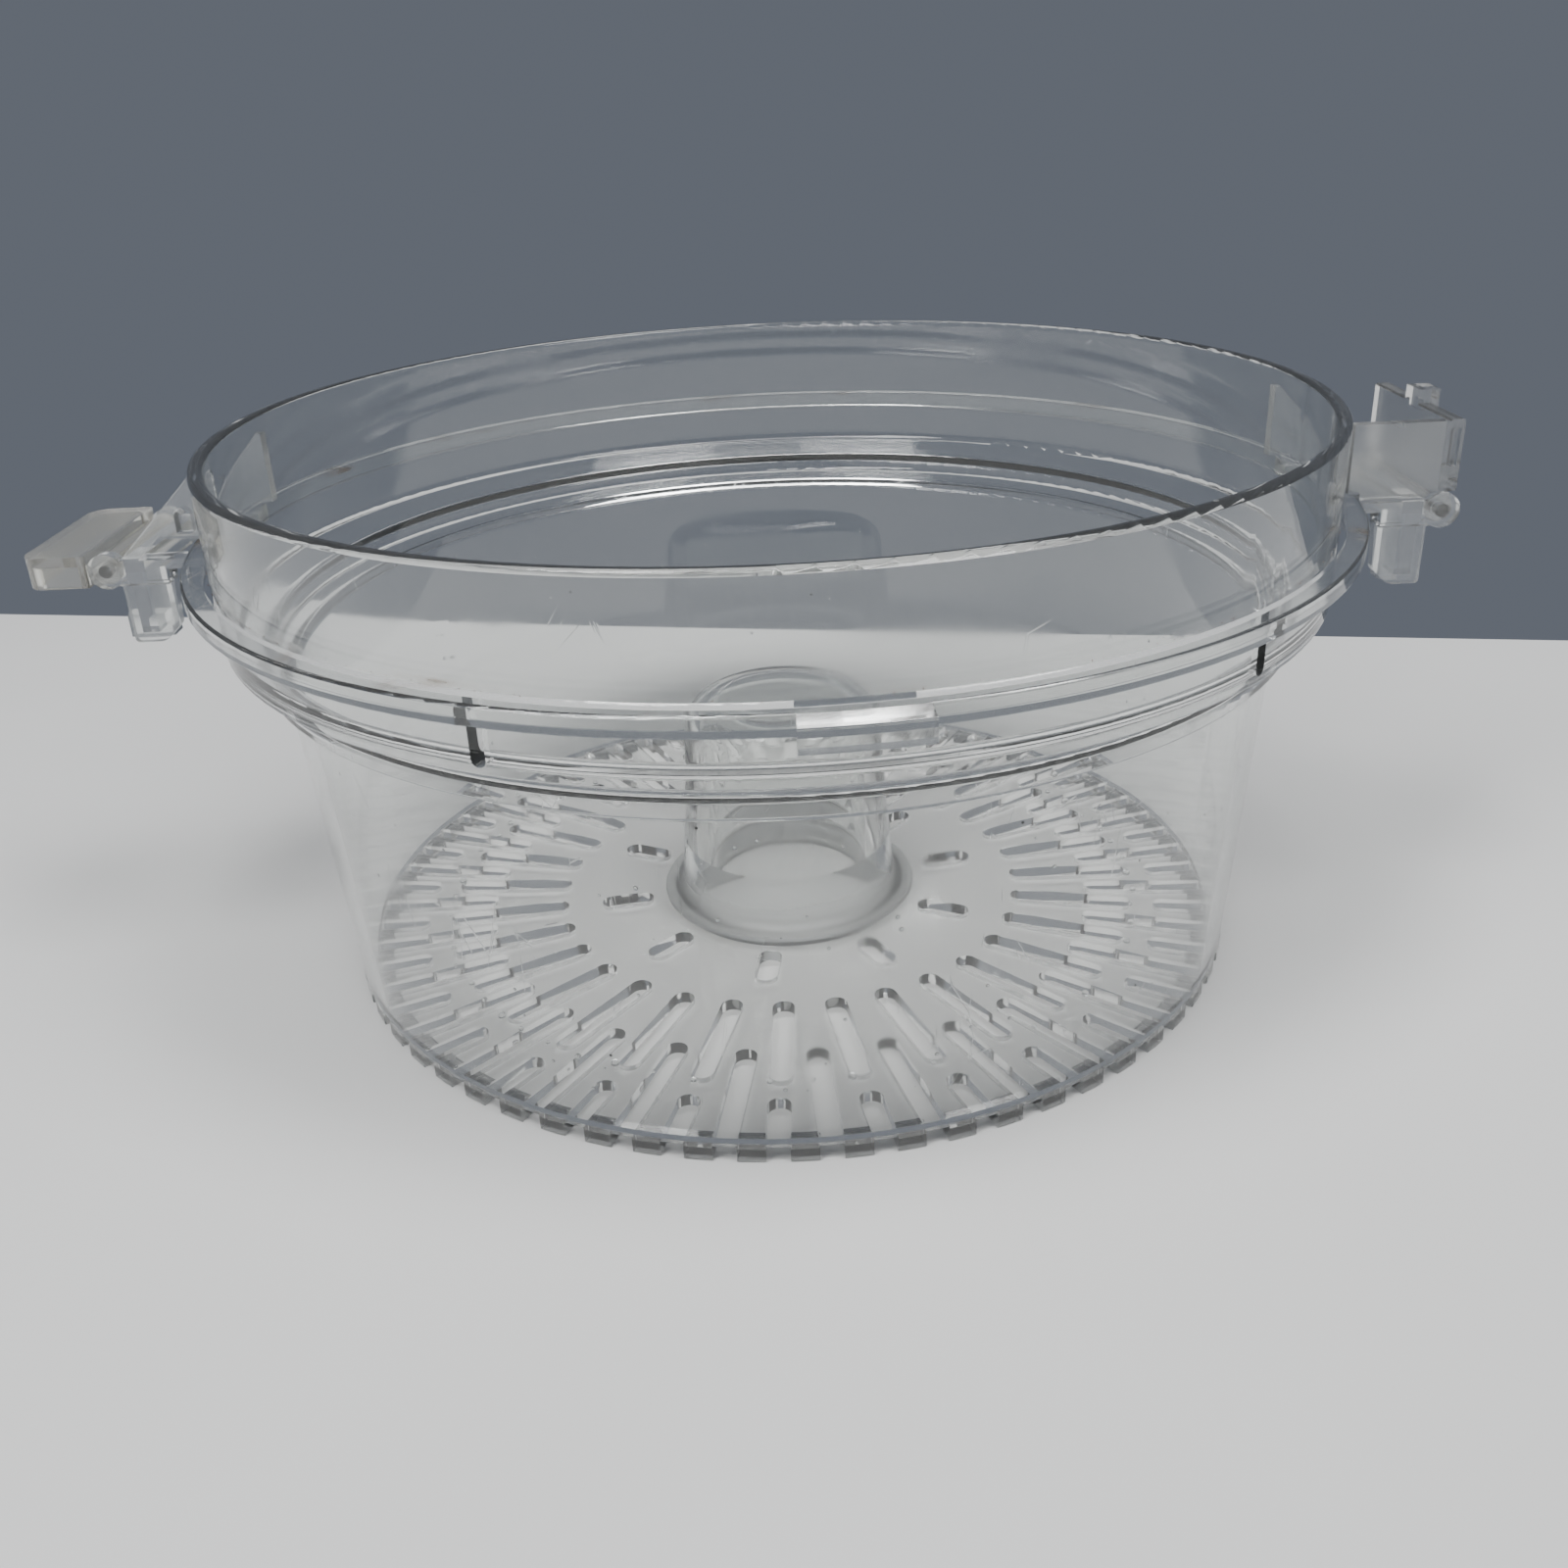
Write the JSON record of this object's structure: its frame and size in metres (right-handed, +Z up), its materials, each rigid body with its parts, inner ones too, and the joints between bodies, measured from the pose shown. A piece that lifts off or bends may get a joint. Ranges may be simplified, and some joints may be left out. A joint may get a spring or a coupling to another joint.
{
  "type": "salad spinner bowl",
  "caption": "Clear plastic spinner bowl with a slotted floor, a hollow centre column and two hinged side clips that hold a lid.",
  "frame": {"origin": "centre of the base at table level, on the bowl axis", "axes": "+Z up along the bowl axis, clips on the X axis, lug at the -Y front"},
  "size_m": [0.2676, 0.2221, 0.106],
  "materials": {
    "clear_plastic": "clear, lightly scratched",
    "clip_plastic": "clear, slightly yellowed",
    "pin_plastic": "clear"
  },
  "bodies": {
    "bowl": {"bowl_wall": "clear_plastic", "foot_ring": "clear_plastic", "floor_grid": "clear_plastic", "centre_column": "clear_plastic", "flange_ring": "clear_plastic", "right_bracket": "clear_plastic", "left_bracket": "clear_plastic", "right_hinge_pin": "pin_plastic", "left_hinge_pin": "pin_plastic"},
    "right_clip": {"right_clip": "clip_plastic"},
    "left_clip": {"left_clip": "clip_plastic"}
  },
  "joints": [
    {"name": "right_clip_hinge", "type": "hinge", "parent": "bowl", "child": "right_clip", "pos_m": [0.1243, 0, 0.0843], "axis": [0, 1, 0], "range_deg": [0, 90]},
    {"name": "left_clip_hinge", "type": "hinge", "parent": "bowl", "child": "left_clip", "pos_m": [-0.1243, 0, 0.0843], "axis": [0, 1, 0], "range_deg": [0, 90]}
  ]
}
